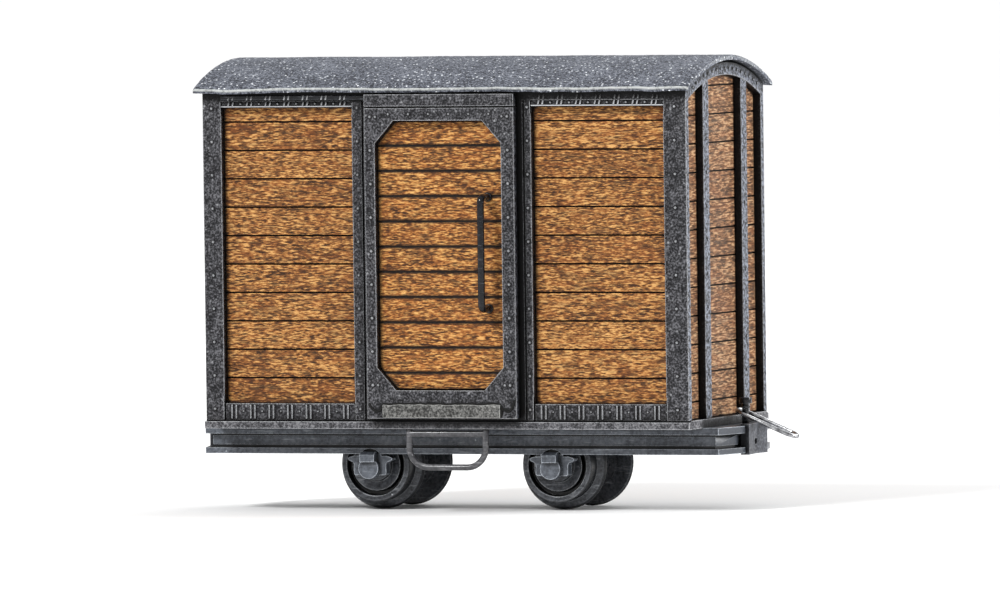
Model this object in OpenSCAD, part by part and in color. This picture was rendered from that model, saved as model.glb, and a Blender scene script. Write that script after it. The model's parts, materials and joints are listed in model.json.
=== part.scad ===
// Model box car for 6.5 mm gauge narrow-gauge track, scale 1:87.
// Millimetres. X runs along the track, Y across it, Z is up. The origin is at the
// middle of the wagon, at the level of the lowest points of the wheel flanges.
// The front is the -Y side. The back is the front turned half a turn about Z.

/* [Wheels] */
// Distance between the two axles
wheelbase = 13.6; // [13.2:0.1:14.2]
// Radius of the wheel tread
tread_r = 2.55; // [2.45:0.05:2.6]
// Height of the flange above the tread
flange_h = 0.6; // [0.4:0.05:0.65]
// Distance between the inner faces of a pair of wheels
back_to_back = 5.3; // [5.1:0.05:5.5]
// Width of one wheel
wheel_w = 1.75; // [1.6:0.05:1.8]
// Radius of the axle between the wheels
axle_r = 0.4; // [0.3:0.05:0.5]
// Radius of the axle's journals
journal_r = 0.25; // [0.2:0.01:0.3]

/* [Chassis] */
// Overall width of the chassis frame
chassis_w = 11; // [10.8:0.1:11.6]
// Half length of the straight sides of the chassis
chassis_side_x = 19.2; // [19:0.05:19.4]
// Half length of the chassis at its flat ends
chassis_end_x = 19.95; // [19.9:0.05:20.1]
// Half width of the flat ends
chassis_end_y = 2.65; // [2.4:0.05:2.9]
// Underside of the chassis
chassis_z = 4; // [3.95:0.05:4.1]
// Thickness of the chassis's lower flange
chassis_flange = 0.42; // [0.3:0.02:0.5]
// Depth of the channel in the chassis sides
channel_depth = 0.5; // [0.3:0.05:0.55]

/* [Floor] */
// Half length of the floor plinth
plinth_x = 18.1; // [18.1:0.05:18.3]
// Half width of the floor plinth
plinth_y = 8.45; // [8.35:0.05:8.6]
// Underside of the plinth
plinth_z = 5.9; // [5.8:0.05:6]
// Top of the plinth
floor_z = 6.5; // [6.45:0.05:6.55]

/* [Body] */
// Half length of the body
body_x = 18.03; // [17.95:0.01:18.1]
// Outer face of the side frames, from the middle
side_y = 8.3; // [8.28:0.01:8.32]
// Thickness of the side frames
frame_t = 0.6; // [0.5:0.05:0.7]
// Top edge of the side frames
side_top = 29.72; // [29.5:0.01:29.74]
// Height of one plank in the walls
plank_h = 2; // [1.6:0.1:2.4]
// Width of the seam between wall planks
seam_w = 0.09; // [0.05:0.01:0.2]

/* [Doors] */
// Width of a door
door_w = 11.14; // [10.9:0.02:11.3]
// Underside of a door
door_z = 6.65; // [6.6:0.05:6.8]
// Top of a door's frame
door_top = 28.42; // [28.3:0.02:28.5]
// How far a door slides open
door_travel = 10.4; // [6:0.1:10.8]

/* [Roof] */
// Outer radius of the roof's curve
roof_r = 21.5; // [21.45:0.05:21.6]
// Height of the middle of the roof's curve
roof_centre_z = 10.4; // [10.35:0.05:10.45]
// Thickness of the roof
roof_t = 0.42; // [0.3:0.02:0.45]
// Half width of the roof
roof_y = 9.15; // [9.1:0.05:9.3]
// Half length of the roof
roof_x = 18.47; // [18.3:0.01:18.7]

/* [Coupling] */
// Distance of each coupling pin from the middle
pin_x = 19.3; // [19.25:0.01:19.35]
// Radius of a coupling pin's shaft
pin_r = 0.25; // [0.2:0.01:0.3]
// Radius of a coupling pin's head
pin_head_r = 0.45; // [0.4:0.01:0.5]
// Length of the link along its wire's centre line
link_l = 4.72; // [4:0.02:5.2]
// Width of the link between its wires' centre lines
link_w = 1.6; // [1.4:0.05:1.7]
// Radius of the link's wire
link_wire_r = 0.15; // [0.1:0.01:0.17]
// Droop of the link at rest, in degrees
link_droop = 23.1; // [15:0.1:23.1]

/* [Hidden] */
$fn = 64;
EPS = 0.5;

axle_x = wheelbase / 2;
axle_z = tread_r + flange_h;
flange_r = tread_r + flange_h;
flange_t = 0.45;
wheel_in = back_to_back / 2;
wheel_out = wheel_in + wheel_w;
journal_end = 5.4;
running_gap = 0.03;
neck_x = 0.84;
lid_y = 6.2;

chassis_y = chassis_w / 2;
member_y = 4.7;
chassis_h = plinth_z - chassis_z;
facet_dx = chassis_end_x - chassis_side_x;
facet_dy = chassis_y - chassis_end_y;
facet_len = sqrt(facet_dx * facet_dx + facet_dy * facet_dy);
facet_nx = facet_dy / facet_len;
facet_ny = facet_dx / facet_len;
facet_c = facet_nx * chassis_side_x + facet_ny * chassis_y;
// Bands of the chassis's outer face from its underside up: upper end and inset
CHASSIS_BANDS = [[chassis_z, 0], [chassis_z + chassis_flange, 0], [4.6, channel_depth + 0.1],
                 [5.27, channel_depth], [5.39, channel_depth + 0.1], [plinth_z, 0]];
// Pockets in the chassis, from inner to outer: ballast, wheels, two at the ends
POCKETS = [[0, 2.9], [3.3, 10.3], [10.8, 12.4], [13.8, 18.4]];
ballast_x = 2.8;
notch_r = 0.9;
notch_z = 3.47;
notch_depth = 0.35;
screw_x = 13.1;
screw_r = 0.4;
screw_head_r = 0.7;
screw_head_z = 4.55;
screw_bar_z = 5;

buffer_y = 1.95;
buffer_in = 19.6;
buffer_out = 20.24;
buffer_z = [3.87, 6.02];
buffer_hollow = 0.2;
buffer_hollow_r = (buffer_y * buffer_y + buffer_hollow * buffer_hollow) / (2 * buffer_hollow);

frame_in = side_y - frame_t;
panel_t = 0.5;
panel_in = frame_in - panel_t;
window_z = [7.65, 28.5];
window_left = [-16.63, -6.82];
window_right = [6.55, 16.35];
doorway_x = 5.3;
doorway_z = [7.2, 28.35];
post_seam_x = 6;
rail_top = 28.9;
rail_setback = 0.1;
rail_seam = 0.04;
seam_depth = 0.14;
side_seam_z = 9.45;
end_seam_z = 7.73;
panel_end_x = 16.98;
end_panel_x = [17, 17.5];
end_panel_y = frame_in - 0.02;
board_pitch = 1.43;
plinth_rebate = 0.1;

roof_in_r = roof_r - roof_t;
bow_r = [20.05, 20.95];
wall_top_r = 20.98;
post_y = 4.04;
post_w = 1.2;

door_x = door_w / 2;
door_in = side_y + 0.08;
door_out = 9.15;
hanger_y = [8.62, 8.75];
hanger_top = 29.44;
header_z = [28.52, 29.38];
track_y = side_y + 0.25;
track_z = [29, 29.3];
hook_x = 3.6;
hook_w = 1.2;
door_wood_y = 8.55;
door_open_x = [-4.8, 4.6];
door_open_z = [8.63, 27.53];
door_corner = [1.4, 1.6];
door_plank_h = 1.768;
door_seam_z = 9.85;
door_seam_w = 0.18;
kick_x = [-4.4, 4.35];
kick_z = [6.7, 7.65];
kick_t = 0.1;
handle_x = 3.38;
handle_y = 10.05;
handle_z = [14.35, 22.15];
handle_r = 0.25;
handle_bend = 0.4;

step_x = 2.85;
step_y = 8.1;
step_r = 0.22;
step_bend = 1.4;
step_bottom = 3.2;
step_top = 5.55;

link_z = 6.95;
link_x = 18.73;

// A box from its ranges along X, Y and Z
module block(x, y, z) {
  translate([x[0], y[0], z[0]]) cube([x[1] - x[0], y[1] - y[0], z[1] - z[0]]);
}

// The same shape on the back: the front turned half a turn about Z
module at_back() {
  rotate([0, 0, 180]) children();
}

// A cylinder along -Y, from y0 to y1 out from the middle
module rod_y(r, y0, y1) {
  translate([0, -y0, 0]) rotate([90, 0, 0]) cylinder(r = r, h = y1 - y0);
}

// A cylinder along X between two places
module rod_x(r, x0, x1) {
  translate([x0, 0, 0]) rotate([0, 90, 0]) cylinder(r = r, h = x1 - x0);
}

// A cylinder about the roof's centre line, reaching x on both sides
module roof_cylinder(r, x) {
  translate([0, 0, roof_centre_z]) rod_x(r, -x, x);
}

/* Chassis */

// Plan of the chassis, taken in by an inset
module chassis_plan(inset) {
  y = chassis_y - inset;
  side_x = (facet_c - inset - facet_ny * y) / facet_nx;
  end_x = chassis_end_x - inset;
  end_y = (facet_c - inset - facet_nx * end_x) / facet_ny;
  polygon([[side_x, y], [end_x, end_y], [end_x, -end_y], [side_x, -y],
           [-side_x, -y], [-end_x, -end_y], [-end_x, end_y], [-side_x, y]]);
}

module chassis_frame() {
  color([0.25, 0.26, 0.28]) difference() {
    union() {
      for (k = [1:len(CHASSIS_BANDS) - 1])
        translate([0, 0, CHASSIS_BANDS[k - 1][0]])
          linear_extrude(CHASSIS_BANDS[k][0] - CHASSIS_BANDS[k - 1][0]) chassis_plan(CHASSIS_BANDS[k][1]);
    }
    for (side = [-1, 1], pocket = POCKETS) {
      x = side > 0 ? pocket : [-pocket[1], -pocket[0]];
      block([x[0] - 0.001, x[1] + 0.001], [-member_y, member_y], [chassis_z - EPS, plinth_z + EPS]);
    }
    for (side = [-1, 1]) {
      // Room for the screw head under its bar, and the screw's hole
      block([side * screw_x - 0.7, side * screw_x + 0.7], [-member_y, member_y],
            [chassis_z - EPS, screw_bar_z]);
      translate([side * screw_x, 0, chassis_z]) cylinder(r = screw_r, h = chassis_h + EPS);
      // Seat of the buffer block and hole of the coupling pin
      block([side > 0 ? buffer_in : -chassis_end_x - EPS, side > 0 ? chassis_end_x + EPS : -buffer_in],
            [-buffer_y, buffer_y], [chassis_z - EPS, plinth_z + EPS]);
      translate([side * pin_x, 0, chassis_z + 0.3])
        cylinder(r = pin_r + running_gap, h = chassis_h);
      // Round notches in the lower flange over the axle boxes
      for (turn = [0, 180])
        rotate([0, 0, turn]) translate([side * axle_x, 0, notch_z])
          rod_y(notch_r, chassis_y - notch_depth, chassis_y + EPS);
    }
  }
}

module ballast_weight() {
  color([0.45, 0.45, 0.46])
    block([-ballast_x, ballast_x], [-member_y + 0.1, member_y - 0.1], [4.25, plinth_z]);
}

module chassis_screws() {
  color([0.6, 0.6, 0.6]) for (side = [-1, 1]) translate([side * screw_x, 0, 0]) difference() {
    union() {
      translate([0, 0, screw_head_z]) cylinder(r = screw_head_r, h = screw_bar_z - screw_head_z);
      translate([0, 0, screw_bar_z]) cylinder(r = screw_r, h = floor_z - 0.1 - screw_bar_z);
    }
    block([-screw_head_r, screw_head_r], [-0.1, 0.1], [screw_head_z - EPS, screw_head_z + 0.15]);
  }
}

// One axle box, for the front and the middle of the wagon
module axle_box() {
  difference() {
    union() {
      // Hanging bracket with horned ears
      for (side = [0, 1]) mirror([side, 0, 0]) upright(4.75, 5.5)
        polygon([[0, 2.5], [1.1, 2.5], [1.2, 2.6], [1.2, 3.28], [1.28, 3.42], [1.5, 3.5], [1.63, 3.58],
                 [1.66, 3.68], [1.58, 3.76], [1.2, 3.86], [neck_x, 3.86], [neck_x, chassis_z],
                 [0, chassis_z]]);
      // Round journal cover and the block with the oil lid above it
      translate([0, 0, 3]) rod_y(0.74, 4.9, 5.9);
      block([-0.54, 0.54], [-lid_y, -5.4], [3.45, 4.16]);
    }
    translate([0, 0, axle_z]) rod_y(journal_r + running_gap, 4.7, 5.45);
    // Sloping top of the oil lid
    translate([0, -lid_y, 3.95]) rotate([35, 0, 0]) block([-1, 1], [-1, 0.8], [0, 1]);
  }
}

module axle_box_front_left() {
  color([0.22, 0.22, 0.24]) translate([-axle_x, 0, 0]) axle_box();
}

module axle_box_front_right() {
  color([0.22, 0.22, 0.24]) translate([axle_x, 0, 0]) axle_box();
}

module axle_box_back_left() {
  color([0.22, 0.22, 0.24]) at_back() translate([axle_x, 0, 0]) axle_box();
}

module axle_box_back_right() {
  color([0.22, 0.22, 0.24]) at_back() translate([-axle_x, 0, 0]) axle_box();
}

// Buffer block of the +X end, with a hollow face, a centre hole and a side peg
module buffer() {
  difference() {
    union() {
      block([buffer_in, buffer_out], [-buffer_y, buffer_y], buffer_z);
      translate([0, 1.68, 4.45]) rod_x(0.2, buffer_in + 0.2, 20.55);
    }
    translate([buffer_out - buffer_hollow + buffer_hollow_r, 0, buffer_z[0] - EPS])
      cylinder(r = buffer_hollow_r, h = buffer_z[1] - buffer_z[0] + 2 * EPS, $fn = 96);
    translate([0, 0, 4.75]) rod_x(0.24, buffer_in + 0.15, buffer_out);
  }
}

module buffer_right() {
  color([0.36, 0.37, 0.4]) buffer();
}

module buffer_left() {
  color([0.36, 0.37, 0.4]) at_back() buffer();
}

// Headed coupling pin, standing in the chassis
module coupling_pin() {
  translate([pin_x, 0, 0]) {
    translate([0, 0, 4.35]) cylinder(r = pin_r, h = 3.05);
    translate([0, 0, 7.4]) cylinder(r = pin_head_r, h = 0.42);
  }
}

module coupling_pin_right() {
  color([0.3, 0.31, 0.34]) coupling_pin();
}

module coupling_pin_left() {
  color([0.3, 0.31, 0.34]) at_back() coupling_pin();
}

// Wire loop round the right-hand pin, drooping over the buffer's top edge
module coupling_link() {
  bend = link_w / 2;
  color([0.8, 0.81, 0.83]) translate([link_x, 0, link_z]) rotate([0, link_droop, 0]) {
    for (side = [-1, 1]) translate([0, side * bend, 0]) rod_x(link_wire_r, bend, link_l - bend);
    translate([bend, 0, 0]) rotate([0, 0, 90])
      rotate_extrude(angle = 180) translate([bend, 0]) circle(r = link_wire_r, $fn = 32);
    translate([link_l - bend, 0, 0]) rotate([0, 0, -90])
      rotate_extrude(angle = 180) translate([bend, 0]) circle(r = link_wire_r, $fn = 32);
  }
}

/* Wheelsets */

// One wheel on the front side, turned about the axle's line
module wheel() {
  face = wheel_out;
  rotate([90, 0, 0]) rotate_extrude($fn = 96)
    polygon([[axle_r, wheel_in + 0.25], [1.2, wheel_in + 0.25], [1.9, wheel_in],
             [flange_r - 0.12, wheel_in], [flange_r, wheel_in + 0.15],
             [flange_r - 0.15, wheel_in + flange_t], [tread_r, wheel_in + flange_t + 0.1],
             [tread_r, face - 0.08], [tread_r - 0.08, face], [2.16, face], [2.12, face - 0.7],
             [1.84, face - 0.7], [1.8, face - 0.15], [1.16, face - 0.32],
             [1.08, face - 0.12], [0.75, face - 0.05], [axle_r, face - 0.05]]);
}

// Axle with a smaller journal at each end
module axle() {
  rod_y(axle_r, -wheel_out + 0.1, wheel_out - 0.1);
  rod_y(journal_r, -journal_end, journal_end);
}

module axle_left() {
  color([0.35, 0.35, 0.36]) translate([-axle_x, 0, axle_z]) axle();
}

module axle_right() {
  color([0.35, 0.35, 0.36]) translate([axle_x, 0, axle_z]) axle();
}

module wheel_left_front() {
  color([0.3, 0.3, 0.32]) translate([-axle_x, 0, axle_z]) wheel();
}

module wheel_left_back() {
  color([0.3, 0.3, 0.32]) translate([-axle_x, 0, axle_z]) at_back() wheel();
}

module wheel_right_front() {
  color([0.3, 0.3, 0.32]) translate([axle_x, 0, axle_z]) wheel();
}

module wheel_right_back() {
  color([0.3, 0.3, 0.32]) translate([axle_x, 0, axle_z]) at_back() wheel();
}

/* Floor */

module floor_plinth() {
  color([0.27, 0.27, 0.29]) difference() {
    block([-plinth_x, plinth_x], [-plinth_y, plinth_y], [plinth_z, floor_z]);
    // Slots for the tops of the flanges
    for (x = [-axle_x, axle_x], y = [wheel_in - 0.2, -wheel_in - 0.75])
      block([x - 1.9, x + 1.9], [y, y + 0.95], [plinth_z - EPS, floor_z + EPS]);
    for (x = [-screw_x, screw_x])
      translate([x, 0, plinth_z - EPS]) cylinder(r = screw_r, h = floor_z - plinth_z + EPS - 0.1);
    // Rebate that leaves a shadow gap under the sides
    for (turn = [0, 180])
      rotate([0, 0, turn])
        block([-plinth_x - EPS, plinth_x + EPS], [-plinth_y - EPS, -side_y + 0.2],
              [floor_z - plinth_rebate, floor_z + EPS]);
  }
}

module floor_boards() {
  y = panel_in - 0.05;
  color([0.5, 0.36, 0.22]) difference() {
    block([-panel_end_x, panel_end_x], [-y, y], [floor_z, floor_z + 0.4]);
    for (k = [-4:4])
      block([-panel_end_x - EPS, panel_end_x + EPS],
            [k * board_pitch - 0.06, k * board_pitch + 0.06], [floor_z + 0.3, floor_z + 1]);
  }
}

/* Body */

// Side frame of the front: corner posts, door posts and rails
module side_frame() {
  difference() {
    block([-body_x, body_x], [-side_y, -frame_in], [floor_z, side_top]);
    block(window_left, [-side_y - EPS, -frame_in + EPS], window_z);
    block(window_right, [-side_y - EPS, -frame_in + EPS], window_z);
    block([-doorway_x, doorway_x], [-side_y - EPS, -frame_in + EPS], doorway_z);
    for (side = [-1, 1])
      block([side * post_seam_x - 0.06, side * post_seam_x + 0.06], [-side_y - EPS, -side_y + seam_depth],
            [floor_z - EPS, rail_top]);
    // Rails set back between the posts, with a seam at each end
    for (window = [window_left, window_right],
         z = [[floor_z - EPS, window_z[0] + EPS], [window_z[1] - EPS, rail_top]]) {
      block(window, [-side_y - EPS, -side_y + rail_setback], z);
      for (x = window)
        block([x - rail_seam, x + rail_seam], [-side_y - EPS, -side_y + rail_setback + 0.1], z);
    }
  }
}

module side_frame_front() {
  color([0.3, 0.3, 0.31]) side_frame();
}

module side_frame_back() {
  color([0.3, 0.3, 0.31]) at_back() side_frame();
}

// Planked panel behind the front side frame, between two places along X
module side_panel(x) {
  difference() {
    block(x, [-frame_in, -panel_in], [floor_z, 29.2]);
    for (k = [0:9])
      translate([0, 0, side_seam_z + k * plank_h])
        block([x[0] - EPS, x[1] + EPS], [-frame_in - EPS, -frame_in + seam_depth],
              [-seam_w / 2, seam_w / 2]);
  }
}

module panel_front_left() {
  color([0.63, 0.42, 0.24]) side_panel([-panel_end_x, -doorway_x - 0.4]);
}

module panel_front_right() {
  color([0.63, 0.42, 0.24]) side_panel([doorway_x + 0.4, panel_end_x]);
}

module panel_back_left() {
  color([0.63, 0.42, 0.24]) at_back() side_panel([doorway_x + 0.4, panel_end_x]);
}

module panel_back_right() {
  color([0.63, 0.42, 0.24]) at_back() side_panel([-panel_end_x, -doorway_x - 0.4]);
}

// Planked end wall of the +X end, with an arched top
module end_panel() {
  intersection() {
    difference() {
      block(end_panel_x, [-end_panel_y, end_panel_y], [floor_z, 32]);
      for (k = [0:11])
        translate([0, 0, end_seam_z + k * plank_h])
          block([end_panel_x[1] - seam_depth, end_panel_x[1] + EPS],
                [-end_panel_y - EPS, end_panel_y + EPS], [-seam_w / 2, seam_w / 2]);
    }
    roof_cylinder(wall_top_r, end_panel_x[1] + 1, $fn = 128);
  }
}

module end_panel_right() {
  color([0.6, 0.42, 0.28]) end_panel();
}

module end_panel_left() {
  color([0.6, 0.42, 0.28]) at_back() end_panel();
}

// The two upright posts of the +X end
module end_posts() {
  intersection() {
    for (side = [-1, 1])
      block([end_panel_x[1], body_x], [side * post_y - post_w / 2, side * post_y + post_w / 2],
            [floor_z, 32]);
    roof_cylinder(bow_r[0], body_x + 1, $fn = 128);
  }
}

module end_posts_right() {
  color([0.36, 0.37, 0.4]) end_posts();
}

module end_posts_left() {
  color([0.36, 0.37, 0.4]) at_back() end_posts();
}

// Arched bow over the posts of the +X end
module end_bow() {
  intersection() {
    difference() {
      roof_cylinder(bow_r[1], body_x + 1, $fn = 128);
      roof_cylinder(bow_r[0], body_x + 2, $fn = 128);
    }
    block([end_panel_x[1], body_x], [-end_panel_y, end_panel_y], [20, 33]);
  }
}

module end_bow_right() {
  color([0.3, 0.3, 0.31]) end_bow();
}

module end_bow_left() {
  color([0.3, 0.3, 0.31]) at_back() end_bow();
}

module roof() {
  reach = 30;
  half = asin(roof_y / roof_r);
  color([0.33, 0.36, 0.4]) intersection() {
    difference() {
      roof_cylinder(roof_r, roof_x, $fn = 128);
      roof_cylinder(roof_in_r, roof_x + 1, $fn = 128);
    }
    // Wedge that cuts the eaves square to the curve
    translate([-roof_x - EPS, 0, roof_centre_z]) rotate([90, 0, 90])
      linear_extrude(2 * roof_x + 2 * EPS)
        polygon([[0, 0], [reach * tan(half), reach], [-reach * tan(half), reach]]);
  }
}

/* Doors */

// Rail that the front door hangs from
module door_track() {
  block([-door_x - door_travel - 0.6, door_x - 0.1], [-track_y, -side_y], track_z);
}

module door_track_front() {
  color([0.26, 0.26, 0.28]) door_track();
}

module door_track_back() {
  color([0.26, 0.26, 0.28]) at_back() door_track();
}

// Outline of the door's eight-sided opening, in X and Z
module door_opening() {
  x = door_open_x;
  z = door_open_z;
  c = door_corner;
  polygon([[x[0] + c[0], z[0]], [x[1] - c[0], z[0]], [x[1], z[0] + c[1]], [x[1], z[1] - c[1]],
           [x[1] - c[0], z[1]], [x[0] + c[0], z[1]], [x[0], z[1] - c[1]], [x[0], z[0] + c[1]]]);
}

// A flat shape drawn in X and Z, standing on the front between two distances out
module upright(y0, y1) {
  translate([0, -y0, 0]) rotate([90, 0, 0]) linear_extrude(y1 - y0) children();
}

// Frame of the front door, with the thin flange that it hangs by
module door_frame() {
  difference() {
    union() {
      block([-door_x, door_x], [-door_out, -door_in], [door_z, door_top]);
      block([-door_x, door_x], [-hanger_y[1], -hanger_y[0]], [door_top - 1, hanger_top]);
    }
    upright(door_in - EPS, door_out + EPS) door_opening();
  }
}

module door_frame_front() {
  color([0.3, 0.3, 0.31]) door_frame();
}

module door_frame_back() {
  color([0.3, 0.3, 0.31]) at_back() door_frame();
}

// Cover strip over the hanging flange
module door_header() {
  block([-door_x, door_x], [-door_out, -hanger_y[1]], header_z);
}

module door_header_front() {
  color([0.28, 0.28, 0.3]) door_header();
}

module door_header_back() {
  color([0.28, 0.28, 0.3]) at_back() door_header();
}

module door_kick_plate() {
  block(kick_x, [-door_out - kick_t, -door_out], kick_z);
}

module door_kick_plate_front() {
  color([0.38, 0.38, 0.4]) door_kick_plate();
}

module door_kick_plate_back() {
  color([0.38, 0.38, 0.4]) at_back() door_kick_plate();
}

module door_planks() {
  difference() {
    upright(door_in, door_wood_y) door_opening();
    for (k = [0:9])
      translate([0, 0, door_seam_z + k * door_plank_h])
        block([-6, 6], [-door_wood_y - EPS, -door_wood_y + 0.07], [-door_seam_w / 2, door_seam_w / 2]);
  }
}

module door_planks_front() {
  color([0.65, 0.43, 0.24]) door_planks();
}

module door_planks_back() {
  color([0.65, 0.43, 0.24]) at_back() door_planks();
}

// Upright grab handle: a bar with two bends, two legs and two round feet
module door_handle() {
  translate([handle_x, 0, 0]) {
    translate([0, -handle_y, handle_z[0] + handle_bend])
      cylinder(r = handle_r, h = handle_z[1] - handle_z[0] - 2 * handle_bend);
    for (end = [0, 1]) translate([0, 0, handle_z[end]]) {
      rod_y(handle_r, door_wood_y, handle_y - handle_bend);
      rod_y(0.31, door_wood_y, door_wood_y + 0.15);
      translate([0, -handle_y + handle_bend, (1 - 2 * end) * handle_bend])
        rotate([0, 90, 0]) rotate([0, 0, 270 - 90 * end])
          rotate_extrude(angle = 90) translate([handle_bend, 0]) circle(r = handle_r, $fn = 32);
    }
  }
}

module door_handle_front() {
  color([0.2, 0.21, 0.24]) door_handle();
}

module door_handle_back() {
  color([0.2, 0.21, 0.24]) at_back() door_handle();
}

// Two lips that hook the hanging flange over the rail
module door_hooks() {
  for (x = [-hook_x, hook_x])
    block([x - hook_w / 2, x + hook_w / 2], [-hanger_y[0], -side_y - 0.04], [track_z[1] + 0.04, hanger_top]);
}

module door_hooks_front() {
  color([0.4, 0.4, 0.42]) door_hooks();
}

module door_hooks_back() {
  color([0.4, 0.4, 0.42]) at_back() door_hooks();
}

/* Step */

// Wire step under the front doorway
module step() {
  leg_z = step_bottom + step_bend;
  translate([0, -step_y, 0]) {
    translate([0, 0, step_top]) rod_x(step_r, -step_x, step_x);
    translate([0, 0, step_bottom]) rod_x(step_r, -step_x + step_bend, step_x - step_bend);
    for (side = [-1, 1]) {
      translate([side * step_x, 0, leg_z]) cylinder(r = step_r, h = plinth_z - leg_z);
      translate([side * (step_x - step_bend), 0, leg_z]) rotate([90, 0, 0])
        rotate([0, 0, side > 0 ? -90 : 180])
          rotate_extrude(angle = 90) translate([step_bend, 0]) circle(r = step_r, $fn = 32);
    }
  }
}

module step_front() {
  color([0.2, 0.21, 0.23]) step();
}

chassis_frame();
ballast_weight();
chassis_screws();
floor_plinth();
floor_boards();
axle_box_front_left();
axle_box_front_right();
axle_box_back_left();
axle_box_back_right();
buffer_left();
buffer_right();
coupling_pin_left();
side_frame_front();
side_frame_back();
panel_front_left();
panel_front_right();
panel_back_left();
panel_back_right();
end_panel_left();
end_panel_right();
end_posts_left();
end_posts_right();
end_bow_left();
end_bow_right();
roof();
door_track_front();
door_track_back();
step_front();
axle_left();
wheel_left_front();
wheel_left_back();
axle_right();
wheel_right_front();
wheel_right_back();
door_frame_front();
door_header_front();
door_kick_plate_front();
door_planks_front();
door_handle_front();
door_hooks_front();
door_frame_back();
door_header_back();
door_kick_plate_back();
door_planks_back();
door_handle_back();
door_hooks_back();
coupling_pin_right();
coupling_link();
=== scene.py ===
# Looks of the model box car: finishes for the CAD pieces, and planks, a felt roof, kick plates,
# rivets, ribs and pin collars as pieces of their own.
# Lengths are written in millimetres and turned into metres with MM. X runs along the track,
# the front is the -Y side, Z is up, and the back is the front turned half a turn about Z.
import json
import math
import random

import bmesh
import bpy
from mathutils import Matrix, Vector, noise


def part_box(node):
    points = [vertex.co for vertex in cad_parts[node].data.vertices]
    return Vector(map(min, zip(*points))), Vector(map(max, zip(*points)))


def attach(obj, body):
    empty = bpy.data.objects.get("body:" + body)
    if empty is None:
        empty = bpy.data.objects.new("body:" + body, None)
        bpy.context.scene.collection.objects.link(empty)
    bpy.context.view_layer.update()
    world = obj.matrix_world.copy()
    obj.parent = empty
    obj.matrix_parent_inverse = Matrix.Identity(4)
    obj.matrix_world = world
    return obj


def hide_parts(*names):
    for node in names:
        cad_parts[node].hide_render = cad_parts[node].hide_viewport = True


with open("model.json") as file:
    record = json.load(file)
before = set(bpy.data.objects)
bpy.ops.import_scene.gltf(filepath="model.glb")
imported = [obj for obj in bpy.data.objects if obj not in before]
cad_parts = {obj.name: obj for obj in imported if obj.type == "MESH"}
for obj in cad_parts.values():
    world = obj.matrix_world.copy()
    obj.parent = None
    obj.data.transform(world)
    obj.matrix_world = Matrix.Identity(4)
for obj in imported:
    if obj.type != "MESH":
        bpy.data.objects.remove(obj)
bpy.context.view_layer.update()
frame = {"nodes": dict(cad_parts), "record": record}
MM = 0.001

# Sizes that the part's source also holds. A pair is a low and a high place, and OPEN_CORNER is the
# width and the height that each corner of the door's opening is cut by.
SIDE_Y = 8.3
FRAME_T = 0.6
PANEL_T = 0.5
FLOOR_Z = 6.5
WINDOWS = ((-16.63, -6.82), (6.55, 16.35))
DOORWAY_X = 5.3
BODY_X = 18.03
RAIL_Y = SIDE_Y - 0.1
TRACK_Y = 8.55
CHASSIS_GROOVES = ((4.42, 4.6), (5.27, 5.39))
WALL_SEAMS = [9.45 + 2 * k for k in range(10)]
WALL_TOP = 29.2
END_SEAMS = [7.73 + 2 * k for k in range(12)]
END_X = (17.0, 17.5)
END_Y = 7.68
ROOF_CENTRE_Z = 10.4
ROOF_R = 21.5
ROOF_T = 0.42
ROOF_Y = 9.15
WALL_TOP_R = 20.98
DOOR_IN = 8.38
DOOR_OUT = 9.15
DOOR_WOOD_Y = 8.55
OPEN_X = (-4.8, 4.6)
OPEN_Z = (8.63, 27.53)
OPEN_CORNER = (1.4, 1.6)
DOOR_SEAMS = [9.85 + 1.768 * k for k in range(10)]
KICK_X = (-4.4, 4.35)
KICK_Z = (6.7, 7.65)
KICK_Y = 9.25
POST_Y = 4.04

# Planks
SEAM_W = 0.09
UNEVEN = 0.02
PLANK_CORNER = 0.06
DOOR_PLANK_CORNER = 0.17
WALL_BEHIND_FRAME = 0.4
FLOOR_BOARD_PITCH = 1.43
FLOOR_BOARD_GAP = 0.08

# Rivets, ribs and other small things. The door slides over the post at UNDER_DOOR_X, so its rivets are
# flatter. COLLAR_PROFILE is radius and height, and each crack runs through places of X and Z.
FRONT = (0, -1, 0)
RIGHT = (1, 0, 0)
RIVET_FOOT_Z = 7.27
RIVET_PITCH = 2.35
POST_RIVETS_X = (-17.33, -6.4, 6.28, 17.2)
POST_RIVET_H = 0.11
UNDER_DOOR_X = -6.4
UNDER_DOOR_RIVET_H = 0.065
WINDOW_BEAD_Z = (28.5, 28.57)
LOW_RIBS_Z = (6.6, 7.56)
HIGH_RIBS_Z = (28.6, 28.88)
TOP_RIBS_Z = (29.0, 29.29)
RIB_PAIR_PITCH = 1.5
RIB_APART = 0.16
RIB_LEAN = 0.07
LOW_RAIL_RIVET_Z = 7.1
HIGH_RAIL_RIVET_Z = 28.74
DOOR_RIVET_X = 5.12
DOOR_INNER_RIVET_X = 4.72
DOOR_RIVET_FOOT_Z = 9.0
DOOR_TOP_RIVET_Z = 27.98
BOW_RIVET_R = 20.5
BOW_RIVET_STEP = math.radians(2.45)
COLLAR_PROFILE = ((0.24, 7.1), (0.33, 7.11), (0.34, 7.16), (0.33, 7.21), (0.24, 7.22))
KICK_CRACKS = (
    ((-5.42, 7.72), (-5.27, 7.4), (-5.08, 7.25), (-4.82, 7.15), (-4.56, 7.3), (-4.42, 7.62)),
    ((4.37, 7.62), (4.52, 7.24), (4.74, 7.32), (4.96, 7.14), (5.2, 7.34), (5.34, 7.66), (5.46, 7.98)),
    ((4.4, 7.3), (4.46, 7.02), (4.42, 6.8)),
)

TURNED = Matrix.Rotation(math.pi, 3, "Z")


# ---------------------------------------------------------------- finishes


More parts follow.
